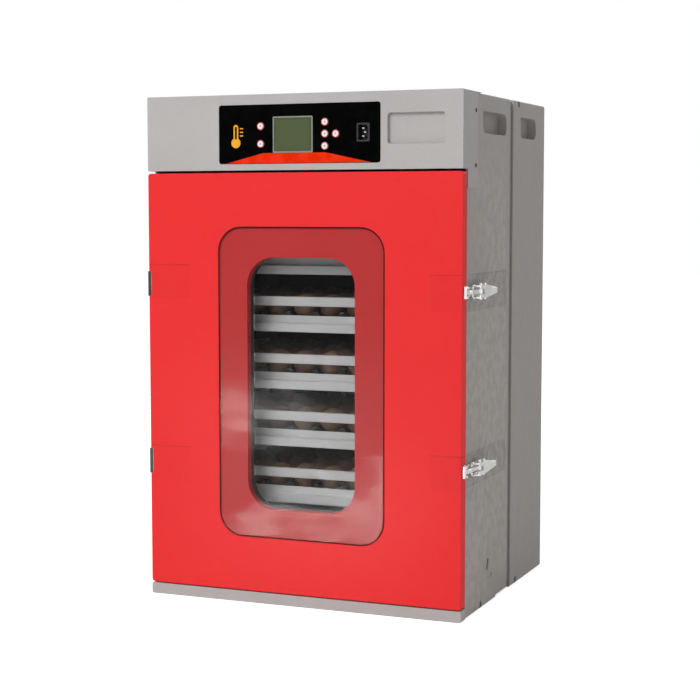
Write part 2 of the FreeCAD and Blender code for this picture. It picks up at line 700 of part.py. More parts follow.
def tray_runners():
    rails = []
    for top in TRAY_TOPS:
        bottom = top - TRAY_HEIGHT
        for side in SIDES:
            wall = side * CHAMBER_HALF_WIDTH
            low = min(wall, wall - side * 12)
            shelf = block(low, low + 12, 66, TRAY_BACK, bottom - 3.5, bottom - 0.5)
            low = min(wall, wall - side * 2.5)
            rails.append(fuse([shelf, block(low, low + 2.5, 66, TRAY_BACK, bottom - 3.5, bottom + 20)]))
    return rails


def water_basin():
    bottom = CHAMBER_BOTTOM + 0.5
    pan = block(-225, 225, 66, 380, bottom, bottom + 55)
    rim = block(-232, 232, 62, 384, bottom + 52, bottom + 55)
    return fuse([pan, rim]).cut(block(-222.5, 222.5, 68.5, 377.5, bottom + 2.5, bottom + 60))


# ---- air circulation ----------------------------------------------------------------------
def fan_frame():
    body = block(-FAN_HALF, FAN_HALF, FAN_FRONT, 432, FAN_Z - FAN_HALF, FAN_Z + FAN_HALF)
    body = body.cut(rod(FAN_BORE, (0, FAN_FRONT - 1, FAN_Z), (0, 431, FAN_Z)))
    spokes = block(-FAN_HALF + 1, FAN_HALF - 1, 431, 432, FAN_Z - 3, FAN_Z + 3)
    windows = rod(FAN_BORE - 2, (0, 430, FAN_Z), (0, 433, FAN_Z)).cut(
        rod(19, (0, 429, FAN_Z), (0, 434, FAN_Z)))
    body = body.cut(windows).fuse(spokes)
    motor = rod(18, (0, 430.5, FAN_Z), (0, 439, FAN_Z))
    axle = rod(2.0, (0, 410, FAN_Z), (0, 433, FAN_Z))
    pieces = [body, motor, axle]
    for sx in SIDES:
        for sz in SIDES:
            x = sx * (FAN_HALF - 6)
            z = FAN_Z + sz * (FAN_HALF - 6)
            pieces.append(rod(4.0, (x, 431, z), (x, CHAMBER_BACK, z)))
    return fuse(pieces)


def fan_rotor():
    hub = rod(18, (0, 408, FAN_Z), (0, 429, FAN_Z))
    pieces = [hub]
    blade_count = 7
    for i in range(blade_count):
        blade = block(15, 53, -8.5, 8.5, -0.9, 0.9)
        blade.rotate(FreeCAD.Vector(0, 0, 0), FreeCAD.Vector(1, 0, 0), 38)
        blade.translate(FreeCAD.Vector(0, 418.5, FAN_Z))
        blade.rotate(FreeCAD.Vector(0, 418.5, FAN_Z), FreeCAD.Vector(0, 1, 0), i * 360 / blade_count)
        pieces.append(blade)
    rotor = fuse(pieces)
    return rotor.cut(rod(2.0 + RUNNING_FIT, (0, 400, FAN_Z), (0, 440, FAN_Z)))


def fan_guard():
    front = 396.0
    rings = []
    for radius in (18.0, 30.0, 42.0, 54.0):
        ring = rod(radius + 1.0, (0, front, FAN_Z), (0, front + 2, FAN_Z))
        rings.append(ring.cut(rod(radius - 1.0, (0, front - 1, FAN_Z), (0, front + 3, FAN_Z))))
    arms = []
    for turn in (45, 135, 225, 315):
        arm = block(16, 76, front + 1, front + 3, FAN_Z - 1.2, FAN_Z + 1.2)
        arm.rotate(FreeCAD.Vector(0, front, FAN_Z), FreeCAD.Vector(0, 1, 0), turn)
        arms.append(arm)
        x = 76 * cos(radians(turn))
        z = FAN_Z - 76 * sin(radians(turn))
        arms.append(rod(3.0, (x, front + 1, z), (x, FAN_FRONT, z)))
    return fuse(rings + arms)


def heater_ring():
    ring = Part.makeTorus(96, 4, FreeCAD.Vector(0, 420, FAN_Z), FreeCAD.Vector(0, 1, 0))
    legs = [rod(3.0, (side * 96, 420, FAN_Z), (side * 96, CHAMBER_BACK, FAN_Z)) for side in SIDES]
    return fuse([ring] + legs)


# ---- build --------------------------------------------------------------------------------
def build():
    os.makedirs("parts", exist_ok=True)
    single = {
        "front_shell": front_shell, "rear_shell": rear_shell, "seam_band": seam_band,
        "hand_grips": hand_grips, "inner_liner": inner_liner, "insulation": insulation,
        "base_sill": base_sill, "header_cover": header_cover, "header_screws": header_screws,
        "control_panel": control_panel, "panel_graphics": panel_graphics,
        "display_bezel": display_bezel, "display_lens": display_lens,
        "power_inlet": power_inlet, "inlet_pins": inlet_pins, "control_board": control_board,
        "door_skin": door_skin, "door_foam": door_foam, "door_liner": door_liner,
        "window_gasket": window_gasket, "outer_pane": outer_pane,
        "window_surround": window_surround, "plug_frame": plug_frame, "inner_pane": inner_pane,
        "door_gasket": door_gasket, "door_hinges": door_hinges, "cabinet_hinges": cabinet_hinges,
        "latch_bases": latch_bases, "latch_keepers": latch_keepers,
        "tray_runners": tray_runners, "water_basin": water_basin, "fan_frame": fan_frame,
        "fan_rotor": fan_rotor, "fan_guard": fan_guard, "heater_ring": heater_ring,
    }
    for name, make in single.items():
        save(name, make())
    for name, (x, z) in BUTTONS.items():
        save(name, button(x, z))
    for name, z in LATCH_HEIGHTS.items():
        save("lever_" + name, latch_lever(z))
        save("hook_" + name, latch_hook(z))
    for i, top in enumerate(TRAY_TOPS):
        save("tray_%d" % (i + 1), tray(top))
        save("tray_rollers_%d" % (i + 1), tray_rollers(top))
        save("eggs_%d" % (i + 1), eggs(top))


build()
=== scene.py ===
import bpy, bmesh
import random
from math import pi, radians
from mathutils import Matrix, Vector


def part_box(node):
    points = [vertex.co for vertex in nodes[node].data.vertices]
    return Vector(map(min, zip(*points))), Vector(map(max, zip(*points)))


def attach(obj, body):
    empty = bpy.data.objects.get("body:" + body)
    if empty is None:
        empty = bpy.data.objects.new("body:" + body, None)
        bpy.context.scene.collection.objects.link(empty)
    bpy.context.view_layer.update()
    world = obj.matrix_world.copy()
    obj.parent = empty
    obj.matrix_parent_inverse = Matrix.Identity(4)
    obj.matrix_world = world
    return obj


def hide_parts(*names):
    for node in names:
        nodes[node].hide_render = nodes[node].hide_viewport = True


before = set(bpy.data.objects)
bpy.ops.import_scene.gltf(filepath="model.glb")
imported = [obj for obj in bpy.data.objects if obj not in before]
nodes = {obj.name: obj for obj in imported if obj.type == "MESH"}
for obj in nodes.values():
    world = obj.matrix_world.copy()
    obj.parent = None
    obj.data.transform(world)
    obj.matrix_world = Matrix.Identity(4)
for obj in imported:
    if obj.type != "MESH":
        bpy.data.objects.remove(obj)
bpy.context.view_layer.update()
mm = 0.001
dice = random.Random(11)
print("frame loaded")

scene = bpy.context.scene
scene.view_settings.view_transform = "Standard"
scene.view_settings.look = "None"


# ---------- small tools for shader nodes
def shaderNode(tree, kind, **settings):
    node = tree.nodes.new(kind)
    for key, value in settings.items():
        setattr(node, key, value)
    return node


def wire(tree, source, target):
    tree.links.new(source, target)


# a plain value goes into the socket itself, anything else is a link
def feed(tree, socket, value):
    if isinstance(value, (int, float, tuple)):
        socket.default_value = value
    else:
        wire(tree, value, socket)


def mathNode(tree, operation, first, second, clamp=False):
    node = shaderNode(tree, "ShaderNodeMath", operation=operation, use_clamp=clamp)
    feed(tree, node.inputs[0], first)
    feed(tree, node.inputs[1], second)
    return node.outputs[0]


# how far a value lies over a start, times a gain, kept between 0 and 1
def risen(tree, source, start, gain):
    return mathNode(tree, "MULTIPLY", mathNode(tree, "SUBTRACT", source, start), gain, clamp=True)


def distanceTo(tree, source, centre):
    return mathNode(tree, "ABSOLUTE", mathNode(tree, "SUBTRACT", source, centre), 0)


def mixColours(tree, amount, first, second):
    mix = shaderNode(tree, "ShaderNodeMix", data_type="RGBA")
    for index, value in ((0, amount), (6, first), (7, second)):
        feed(tree, mix.inputs[index], value)
    return mix.outputs[2]


def objectPlace(tree):
    return shaderNode(tree, "ShaderNodeTexCoord").outputs["Object"]


def splitAxes(tree, source):
    axes = shaderNode(tree, "ShaderNodeSeparateXYZ")
    wire(tree, source, axes.inputs[0])
    return axes.outputs


def stretchedPlace(tree, place, scale, tilt=0):
    mapping = shaderNode(tree, "ShaderNodeMapping")
    mapping.inputs["Scale"].default_value = scale
    mapping.inputs["Rotation"].default_value = (0, radians(tilt), 0)
    wire(tree, place, mapping.inputs["Vector"])
    return mapping.outputs["Vector"]


def noise(tree, place, scale, detail):
    node = shaderNode(tree, "ShaderNodeTexNoise")
    wire(tree, place, node.inputs["Vector"])
    feed(tree, node.inputs["Scale"], scale)
    node.inputs["Detail"].default_value = detail
    return node.outputs["Fac"]


def addRelief(tree, shader, height, strength, distance):
    relief = shaderNode(tree, "ShaderNodeBump")
    relief.inputs["Strength"].default_value = strength
    relief.inputs["Distance"].default_value = distance
    wire(tree, height, relief.inputs["Height"])
    wire(tree, relief.outputs["Normal"], shader.inputs["Normal"])


def newGroup(name, inputs, outputs):
    group = bpy.data.node_groups.new(name, "ShaderNodeTree")
    for label, value in inputs.items():
        socket = group.interface.new_socket(label, in_out="INPUT", socket_type="NodeSocketFloat")
        socket.default_value = value
    for label in outputs:
        group.interface.new_socket(label, in_out="OUTPUT", socket_type="NodeSocketFloat")
    return group, group.nodes.new("NodeGroupInput"), group.nodes.new("NodeGroupOutput")


# pebbled skin of moulded plastic and textured paint: height for bump, mottle for colour
def buildMouldGrain():
    group, given, result = newGroup("mouldGrain", {"Scale": 900.0, "Softness": 0.5}, ["Height", "Mottle"])
    place = objectPlace(group)
    pebbles = shaderNode(group, "ShaderNodeTexVoronoi", feature="SMOOTH_F1")
    wire(group, place, pebbles.inputs["Vector"])
    wire(group, given.outputs["Scale"], pebbles.inputs["Scale"])
    wire(group, given.outputs["Softness"], pebbles.inputs["Smoothness"])
    fine = noise(group, place, mathNode(group, "MULTIPLY", given.outputs["Scale"], 0.55), 4)
    height = mathNode(group, "ADD", pebbles.outputs["Distance"], mathNode(group, "MULTIPLY", fine, 0.6))
    wire(group, height, result.inputs["Height"])
    broad = noise(group, place, 9, 6)
    mottle = mathNode(group, "ADD", mathNode(group, "MULTIPLY", broad, 0.6),
                      mathNode(group, "MULTIPLY", fine, 0.4))
    wire(group, mottle, result.inputs["Mottle"])
    return group


# rubbed corners: bright where the surface turns sharply, broken up by noise
def buildEdgeWear():
    group, given, result = newGroup("edgeWear", {"Amount": 0.5, "Scale": 60.0}, ["Mask"])
    sharp = risen(group, shaderNode(group, "ShaderNodeNewGeometry").outputs["Pointiness"], 0.515, 14.0)
    broken = risen(group, noise(group, objectPlace(group), given.outputs["Scale"], 5), 0.4, 5.0)
    mask = mathNode(group, "MULTIPLY", mathNode(group, "MULTIPLY", sharp, broken),
                    given.outputs["Amount"], clamp=True)
    wire(group, mask, result.inputs["Mask"])
    return group


# thin dust: settles on faces that look up, patchy
def buildDustFilm():
    group, given, result = newGroup("dustFilm", {"Amount": 0.3}, ["Mask"])
    facing = splitAxes(group, shaderNode(group, "ShaderNodeNewGeometry").outputs["Normal"])
    upward = mathNode(group, "MAXIMUM", facing["Z"], 0.05)
    patchy = risen(group, noise(group, objectPlace(group), 14, 8), 0.3, 2.0)
    mask = mathNode(group, "MULTIPLY", mathNode(group, "MULTIPLY", upward, patchy),
                    given.outputs["Amount"], clamp=True)
    wire(group, mask, result.inputs["Mask"])
    return group


# press mark of a box-shaped region, with a thin painted shadow line along its top edge, where the recess edge
# would cast shade
def buildPressMark():
    limits = {"X0": -1.0, "X1": 1.0, "Y0": -1.0, "Y1": 1.0, "Z0": 0.0, "Z1": 1.0, "Line": 0.0009}
    group, given, result = newGroup("pressMark", limits, ["Mask", "PaintedShadowLine"])
    axes = splitAxes(group, objectPlace(group))
    parts = {}
    for axis in "XYZ":
        above = mathNode(group, "GREATER_THAN", axes[axis], given.outputs[axis + "0"])
        below = mathNode(group, "LESS_THAN", axes[axis], given.outputs[axis + "1"])
        parts[axis] = mathNode(group, "MULTIPLY", above, below)
    across = mathNode(group, "MULTIPLY", parts["X"], parts["Y"])
    fromTop = distanceTo(group, axes["Z"], given.outputs["Z1"])
    onLine = mathNode(group, "LESS_THAN", fromTop, given.outputs["Line"])
    wire(group, mathNode(group, "MULTIPLY", across, parts["Z"]), result.inputs["Mask"])
    wire(group, mathNode(group, "MULTIPLY", across, onLine), result.inputs["PaintedShadowLine"])
    return group


mouldGrain = buildMouldGrain()
edgeWear = buildEdgeWear()
dustFilm = buildDustFilm()
pressMark = buildPressMark()
dustColour = (0.55, 0.53, 0.5, 1)


def placeGroup(tree, group, **values):
    node = shaderNode(tree, "ShaderNodeGroup", node_tree=group)
    for key, value in values.items():
        node.inputs[key].default_value = value
    return node


def startMaterial(name, roughness=0.5, metallic=0.0, **sockets):
    material = bpy.data.materials.new(name)
    material.use_nodes = True
    tree = material.node_tree
    shader = tree.nodes["Principled BSDF"]
    shader.inputs["Roughness"].default_value = roughness
    shader.inputs["Metallic"].default_value = metallic
    for label, value in sockets.items():
        shader.inputs[label.replace("_", " ")].default_value = value
    return material, tree, shader


# a colour times a tone, as a shader colour
def toned(colour, tone):
    return (*(min(1, c * tone) for c in colour), 1)


# one recipe for every grained, painted or moulded surface
def grainedMaterial(name, colour, roughness, grainScale=900.0, bump=0.1, bumpDepth=0.0002, wearColour=None,
                    wear=0.4, dust=0.15, mottle=0.08, metallic=0.0, pads=None, **sockets):
    material, tree, shader = startMaterial(name, roughness, metallic, **sockets)
    grain = placeGroup(tree, mouldGrain, Scale=grainScale)
    base = mixColours(tree, grain.outputs["Mottle"], toned(colour, 1 - mottle), toned(colour, 1 + mottle))
    for area in pads["areas"] if pads else ():
        mark = placeGroup(tree, pressMark, **dict(zip(("X0", "X1", "Y0", "Y1", "Z0", "Z1"), area)))
        # the mask takes the pad's own tone; the line along the pad's top edge is painted shadow
        for label, tone in (("Mask", pads["tone"]), ("PaintedShadowLine", pads["shadowLineTone"])):
            base = mixColours(tree, mark.outputs[label], base, toned(colour, tone))
    worn = placeGroup(tree, edgeWear, Amount=wear)
    rubbed = wearColour or tuple(min(1, c * 1.35 + 0.02) for c in colour)
    base = mixColours(tree, worn.outputs["Mask"], base, (*rubbed, 1))
    film = placeGroup(tree, dustFilm, Amount=dust)
    wire(tree, mixColours(tree, film.outputs["Mask"], base, dustColour), shader.inputs["Base Color"])
    rough = mathNode(tree, "ADD", mathNode(tree, "MULTIPLY", grain.outputs["Mottle"], 0.2), roughness - 0.1)
    rough = mathNode(tree, "ADD", rough, mathNode(tree, "MULTIPLY", film.outputs["Mask"], 0.3), clamp=True)
    wire(tree, rough, shader.inputs["Roughness"])
    addRelief(tree, shader, grain.outputs["Height"], bump, bumpDepth)
    return material


# brushed or cast bright metal with fine streaks along one axis
def brightMetal(name, colour, roughness, stretch=(1, 1, 1), bump=0.08):
    material, tree, shader = startMaterial(name, roughness, 1.0)
    place = objectPlace(tree)
    streaks = noise(tree, stretchedPlace(tree, place, stretch), 700, 5)
    blotch = noise(tree, place, 60, 4)
    wire(tree, mixColours(tree, blotch, toned(colour, 0.82), (*colour, 1)), shader.inputs["Base Color"])
    rough = mathNode(tree, "ADD", mathNode(tree, "MULTIPLY", streaks, 0.22), roughness - 0.1, clamp=True)
    wire(tree, rough, shader.inputs["Roughness"])
    addRelief(tree, shader, streaks, bump, 0.0001)
    return material


# clear pane: light passes for shadows, smears in the gloss
def paneMaterial(name, tint, smear, index, shade, letsGlow):
    material, tree, shader = startMaterial(name, 0.03, 0.0, IOR=index, Transmission_Weight=1.0)
    wiped = stretchedPlace(tree, objectPlace(tree), (1.0, 1.0, 3.2), 18)
    film = risen(tree, noise(tree, wiped, 6, 7), 0.45, smear)
    wire(tree, mathNode(tree, "ADD", film, 0.02), shader.inputs["Roughness"])
    wire(tree, mixColours(tree, film, (*tint, 1), toned(tint, 0.97)), shader.inputs["Base Color"])
    clear = shaderNode(tree, "ShaderNodeBsdfTransparent")
    clear.inputs["Color"].default_value = (shade, shade, shade, 1)
    path = shaderNode(tree, "ShaderNodeLightPath")
    passing = path.outputs["Is Shadow Ray"]
    if letsGlow:
        passing = mathNode(tree, "MAXIMUM", passing, path.outputs["Is Diffuse Ray"])
    blendShaders(tree, passing, shader, clear, tree.nodes["Material Output"])
    return material


def blendShaders(tree, amount, first, second, result):
    blend = shaderNode(tree, "ShaderNodeMixShader")
    for index, source in enumerate((amount, first.outputs[0], second.outputs[0])):
        wire(tree, source, blend.inputs[index])
    wire(tree, blend.outputs[0], result.inputs["Surface"])


# eggshell: tone per egg from the piece's own attribute, pores and speckles; the brown base also holds painted
# shade, as if the rails and trays above shaded every egg
def eggshellMaterial():
    material, tree, shader = startMaterial("eggshell", 0.55, Subsurface_Weight=0.05)
    shader.inputs["Subsurface Radius"].default_value = (0.004, 0.002, 0.001)
    tone = shaderNode(tree, "ShaderNodeAttribute", attribute_name="eggTone").outputs["Fac"]
    # these browns are partly the shell's own brown and partly painted shade of the rails and trays above
    base = mixColours(tree, tone, (0.135, 0.062, 0.035, 1), (0.27, 0.148, 0.088, 1))
    place = objectPlace(tree)
    specks = shaderNode(tree, "ShaderNodeTexVoronoi")
    specks.inputs["Scale"].default_value = 420
    wire(tree, place, specks.inputs["Vector"])
    cloud = noise(tree, place, 90, 6)
    spots = mathNode(tree, "MULTIPLY", mathNode(tree, "LESS_THAN", specks.outputs["Distance"], 0.22),
                     mathNode(tree, "GREATER_THAN", cloud, 0.56))
    base = mixColours(tree, mathNode(tree, "MULTIPLY", spots, 0.4), base, (0.09, 0.045, 0.03, 1))
    base = mixColours(tree, mathNode(tree, "MULTIPLY", cloud, 0.25), base, (0.32, 0.23, 0.175, 1))
    wire(tree, base, shader.inputs["Base Color"])
    addRelief(tree, shader, specks.outputs["Distance"], 0.15, 0.0001)
    return material


# display film: olive, with painted shade deepening towards its edges where the bezel shades it, and a fine
# dot grid
def displayMaterial(low, high):
    material, tree, shader = startMaterial("displayFilm", 0.3, Specular_IOR_Level=0.05)
    place = objectPlace(tree)
    axes = splitAxes(tree, place)
    edges = [mathNode(tree, "MULTIPLY", distanceTo(tree, axes[axis], (a + b) / 2), 2 / (b - a))
             for axis, a, b in (("X", low.x, high.x), ("Z", low.z, high.z))]
    paintedEdgeShade = mathNode(tree, "POWER", mathNode(tree, "MAXIMUM", *edges), 14, clamp=True)
    dots = shaderNode(tree, "ShaderNodeTexChecker")
    dots.inputs["Scale"].default_value = 1800
    wire(tree, place, dots.inputs["Vector"])
    base = mixColours(tree, mathNode(tree, "MULTIPLY", dots.outputs["Fac"], 0.08),
                      (0.094, 0.117, 0.058, 1), (0.078, 0.098, 0.048, 1))
    # painted shade: the film darkens towards the bezel edges
    base = mixColours(tree, mathNode(tree, "MULTIPLY", paintedEdgeShade, 0.55), base, (0.05, 0.065, 0.03, 1))
    wire(tree, base, shader.inputs["Base Color"])
    wire(tree, mathNode(tree, "MULTIPLY", noise(tree, place, 50, 2), 0.35), shader.inputs["Roughness"])
    return material


greyTone = {
    "header": (0.482, 0.464, 0.457),
    "cabinet": (0.43, 0.404, 0.382),
    "dark": (0.035, 0.034, 0.033),
    "tray": (0.61, 0.605, 0.605),
}
# latch pads: their own darker tone, plus the tone of a painted shadow line along each pad's top edge
sidePads = {"tone": 0.85, "shadowLineTone": 0.82,
            "areas": [(x, x + 0.72, -0.2145, 0.003, low, high) for x in (-1.0, 0.28)
                      for low, high in ((0.220, 0.275), (0.511, 0.571))]}
doorPads = {"tone": 0.965, "shadowLineTone": 0.80,
            "areas": ((0.232, 1, -1, 1, 0.220, 0.275), (0.232, 1, -1, 1, 0.511, 0.571),
                      (-1, -0.208, -1, 1, 0.204, 0.265), (-1, -0.208, -1, 1, 0.523, 0.582))}
headerGrain = grainedMaterial("headerGrain", greyTone["header"], 0.6, 620, bump=0.45, bumpDepth=0.0004,
                              wear=0.0, dust=0.0, mottle=0.16, Specular_IOR_Level=0.15)
cabinetGrain = grainedMaterial("cabinetGrain", greyTone["cabinet"], 0.6, 760, bump=0.22, bumpDepth=0.0003,
                               dust=0.0, mottle=0.07, Specular_IOR_Level=0.12)
shellGrain = grainedMaterial("shellGrain", greyTone["cabinet"], 0.6, 760, bump=0.22, bumpDepth=0.0003,
                             dust=0.0, mottle=0.07, pads=sidePads, Specular_IOR_Level=0.12)
# seam band: grained, its colour darkened with painted shade of the groove between the shells
seamGrainAndShade = grainedMaterial("seamGrainAndShade", (0.30, 0.283, 0.267), 0.65, 760, bump=0.2, dust=0.0, mottle=0.06,
                            Specular_IOR_Level=0.12)
# grip cups: cabinet grain, slightly darkened with painted shade of the recessed cups
cupGrainAndShade = grainedMaterial("cupGrainAndShade", (0.42, 0.398, 0.378), 0.65, 760, bump=0.2, dust=0.0, mottle=0.06,
                           Specular_IOR_Level=0.12)
darkPlastic = grainedMaterial("darkPlastic", greyTone["dark"], 0.5, 900, bump=0.15, wear=0.2, dust=0.05)
# painted shade: the near-black of slots, notches and screw slots, where shade falls
paintedSlotShade = grainedMaterial("paintedSlotShade", (0.012, 0.012, 0.012), 0.7, 900, bump=0.1, wear=0.1, dust=0.02)
screwBlack = grainedMaterial("screwBlack", (0.06, 0.055, 0.05), 0.4, 1500, bump=0.15, wear=0.5, dust=0.02,
                             metallic=0.6)
doorRed = grainedMaterial("doorRed", (0.88, 0.031, 0.033), 0.45, 560, bump=0.22, bumpDepth=0.0003,
                          mottle=0.03, wearColour=(0.84, 0.07, 0.065), wear=0.2, dust=0.0, pads=doorPads,
                          Specular_IOR_Level=0.11)
surroundRed = grainedMaterial("surroundRed", (0.555, 0.026, 0.026), 0.42, 520, bump=0.08, mottle=0.05,
                              wear=0.1, dust=0.0, Specular_IOR_Level=0.3)
linerGrey = grainedMaterial("linerGrey", (0.03, 0.03, 0.03), 0.5, 500, bump=0.1, mottle=0.12, dust=0.05)
trayPlastic = grainedMaterial("trayPlastic", greyTone["tray"], 0.4, 480, bump=0.06, mottle=0.05, dust=0.02)
rollerPlastic = grainedMaterial("rollerPlastic", (0.018, 0.018, 0.018), 0.65, 400, bump=0.1, dust=0.02)
basinPlastic = grainedMaterial("basinPlastic", (0.05, 0.055, 0.06), 0.4, 500, bump=0.08, dust=0.05)
panelBlack = grainedMaterial("panelBlack", (0.0012, 0.0011, 0.0013), 0.5, 900, bump=0.03, wear=0.1, dust=0.0,
                             Specular_IOR_Level=0.01)
inletBlack = grainedMaterial("inletBlack", (0.012, 0.012, 0.013), 0.45, 1200, bump=0.12, wear=0.3, dust=0.0)
trimDark = grainedMaterial("trimDark", (0.05, 0.006, 0.006), 0.6, 1500, bump=0.15, wear=0.05, dust=0.0,
                           Specular_IOR_Level=0.1)
rubberBlack = grainedMaterial("rubberBlack", (0.012, 0.012, 0.012), 0.7, 1500, bump=0.2, wear=0.05, dust=0.02)
accentPrint = grainedMaterial("accentPrint", (0.80, 0.026, 0.001), 0.45, 900, bump=0.03, mottle=0.06,
                              dust=0.0, Specular_IOR_Level=0.02)
amberPrint = grainedMaterial("amberPrint", (0.86, 0.37, 0.03), 0.45, 900, bump=0.03, mottle=0.2, dust=0.0,
                             Specular_IOR_Level=0.02)
bezelPlastic = grainedMaterial("bezelPlastic", (0.22, 0.25, 0.20), 0.4, 900, bump=0.05, dust=0.0)
keyWhite = grainedMaterial("keyWhite", (0.88, 0.88, 0.88), 0.3, 900, bump=0.02, mottle=0.02, dust=0.0,
                           Coat_Weight=0.3)
keyRing = grainedMaterial("keyRing", (0.72, 0.12, 0.13), 0.35, 900, bump=0.02, mottle=0.05, dust=0.0)
keyMark = grainedMaterial("keyMark", (0.16, 0.24, 0.28), 0.4, 900, bump=0.02, mottle=0.05, dust=0.0)
circuitGreen = grainedMaterial("circuitGreen", (0.015, 0.16, 0.05), 0.35, 1200, bump=0.1)
foamCream = grainedMaterial("foamCream", (0.75, 0.68, 0.48), 0.9, 700, bump=0.6, bumpDepth=0.0008)
zincBright = brightMetal("zincBright", (0.93, 0.93, 0.91), 0.42, (1, 6, 1))
chromeBright = brightMetal("chromeBright", (0.97, 0.97, 0.95), 0.40, (1, 4, 1), bump=0.05)
steelSheath = brightMetal("steelSheath", (0.45, 0.42, 0.40), 0.4)
brassTinned = brightMetal("brassTinned", (0.85, 0.80, 0.68), 0.3)
outerGlass = paneMaterial("outerGlass", (0.98, 0.985, 0.985), 0.3, 1.20, 0.97, True)
innerGlass = paneMaterial("innerGlass", (0.86, 0.865, 0.865), 0.1, 1.10, 0.42, False)
eggshell = eggshellMaterial()
displayFilm = displayMaterial(*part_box("display_lens"))
print("materials ready")


# ---------- small tools for meshes
def finishPiece(name, bm, body, materials, replaced=(), bevel=0.0, segments=2, angle=32):
    bm.normal_update()
    mesh = bpy.data.meshes.new(name)
    bm.to_mesh(mesh)
    bm.free()
    for face in mesh.polygons:
        face.use_smooth = True
    piece = bpy.data.objects.new(name, mesh)
    scene.collection.objects.link(piece)
    for material in materials if isinstance(materials, (list, tuple)) else (materials,):
        mesh.materials.append(material)
    if bevel:
        rounding = piece.modifiers.new("rounding", "BEVEL")
        rounding.width = bevel
        rounding.segments = segments
        rounding.limit_method = "ANGLE"
        rounding.angle_limit = radians(angle)
        rounding.use_clamp_overlap = False
        shading = piece.modifiers.new("evenShading", "WEIGHTED_NORMAL")
        shading.weight = 100
        shading.keep_sharp = True
    else:
        mesh.set_sharp_from_angle(angle=radians(angle))
    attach(piece, body)
    if replaced:
        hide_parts(*replaced)
    return piece


# a merged copy of a CAD node, so that its edges can be rounded
def nodeCopy(name):
    bm = bmesh.new()
    bm.from_mesh(nodes[name].data)
    bmesh.ops.remove_doubles(bm, verts=bm.verts, dist=0.00002)
    bmesh.ops.dissolve_limit(bm, angle_limit=radians(0.6), verts=bm.verts, edges=bm.edges,
                             use_dissolve_boundaries=False)
    return bm


def polished(node, name, body, material, bevel=0.0006, segments=2, angle=32):
    return finishPiece(name, nodeCopy(node), body, material, (node,), bevel, segments, angle)


def addBox(bm, low, high, materialIndex=0):
    made = bmesh.ops.create_cube(bm, size=1)["verts"]
    low = Vector(low)
    high = Vector(high)
    bmesh.ops.scale(bm, vec=high - low, verts=made)
    bmesh.ops.translate(bm, vec=(low + high) / 2, verts=made)
    for face in {face for vert in made for face in vert.link_faces}:
        face.material_index = materialIndex
    return made


# round bar between two points
def addRod(bm, start, end, radius, segments, materialIndex):
    start = Vector(start)
    end = Vector(end)
    run = end - start
    made = bmesh.ops.create_cone(bm, cap_ends=True, segments=segments, radius1=radius, radius2=radius,
                                 depth=run.length)["verts"]
    turn = Vector((0, 0, 1)).rotation_difference(run).to_matrix()
    bmesh.ops.rotate(bm, cent=(0, 0, 0), matrix=turn, verts=made)
    bmesh.ops.translate(bm, vec=(start + end) / 2, verts=made)
    for face in {face for vert in made for face in vert.link_faces}:
        face.material_index = materialIndex
    return made


# dome or stepped head turned from a profile of (radius, height), along an axis
def addTurned(bm, profile, base, direction, steps=28, materialIndex=0):
    known = set(bm.faces)
    points = [bm.verts.new((r, 0, h)) for r, h in profile]
    edges = [bm.edges.new(pair) for pair in zip(points, points[1:])]
    made = bmesh.ops.spin(bm, geom=points + edges, cent=(0, 0, 0), axis=(0, 0, 1), angle=2 * pi, steps=steps,
                          use_merge=True)
    verts = list({v for face in set(bm.faces) - known for v in face.verts})
    bmesh.ops.remove_doubles(bm, verts=verts, dist=0.000005)
    verts = list({v for face in set(bm.faces) - known for v in face.verts})
    turn = Vector((0, 0, 1)).rotation_difference(Vector(direction)).to_matrix()
    bmesh.ops.rotate(bm, cent=(0, 0, 0), matrix=turn, verts=verts)
    bmesh.ops.translate(bm, vec=base, verts=verts)
    fresh = list(set(bm.faces) - known)
    bmesh.ops.recalc_face_normals(bm, faces=fresh)
    for face in fresh:
        face.material_index = materialIndex
    return fresh


# ---------- cabinet
cabinetPieces = {
    "front_shell": ("frontShell", shellGrain, 0.0004),
    "rear_shell": ("rearShell", shellGrain, 0.0008),
    "hand_grips": ("handGrips", cupGrainAndShade, 0.0008),
    "base_sill": ("baseSill", headerGrain, 0.0009),
}
for node, (name, material, bevel) in cabinetPieces.items():
    polished(node, name, "cabinet", material, bevel, 3)


# dark plates that paint the shade behind the drain slots and in the moulding notches of the side walls
def makeShadeFillPlates():
    low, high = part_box("front_shell")
    front = low.y - shadeFillLook["shellFront"] * mm
    bm = bmesh.new()
    for side, wall in ((-1, low.x), (1, high.x)):
        outer = wall - side * shadeFillLook["sunk"] * mm
        inner = wall - side * shadeFillLook["deep"] * mm
        for y0, y1, z0, z1 in shadeFillLook["notches"]:
            addBox(bm, (min(outer, inner), front + y0 * mm, z0 * mm),
                   (max(outer, inner), front + y1 * mm, z1 * mm))
        back = wall - side * shadeFillLook["slotDepth"] * mm
        y0, y1, z0, z1 = shadeFillLook["slot"]
        addBox(bm, (min(back, back - side * mm), front + y0 * mm, z0 * mm),
               (max(back, back - side * mm), front + y1 * mm, z1 * mm))
    finishPiece("wallShadeFill", bm, "cabinet", paintedSlotShade, bevel=0.0003)


shadeFillLook = {"shellFront": 25.5, "sunk": 0.5, "deep": 2.5, "slotDepth": 2.9, "slot": (138, 158, 57, 81),
            "notches": ((105.6, 114.4, 1.2, 11.9), (310.6, 319.4, 1.2, 11.9), (309.6, 318.4, 858.1, 867))}
makeShadeFillPlates()
polished("seam_band", "seamBand", "cabinet", seamGrainAndShade, 0.0005)
polished("inner_liner", "innerLiner", "cabinet", linerGrey, 0.0008)
polished("tray_runners", "trayRunners", "cabinet", linerGrey, 0.0004)
print("cabinet ready")

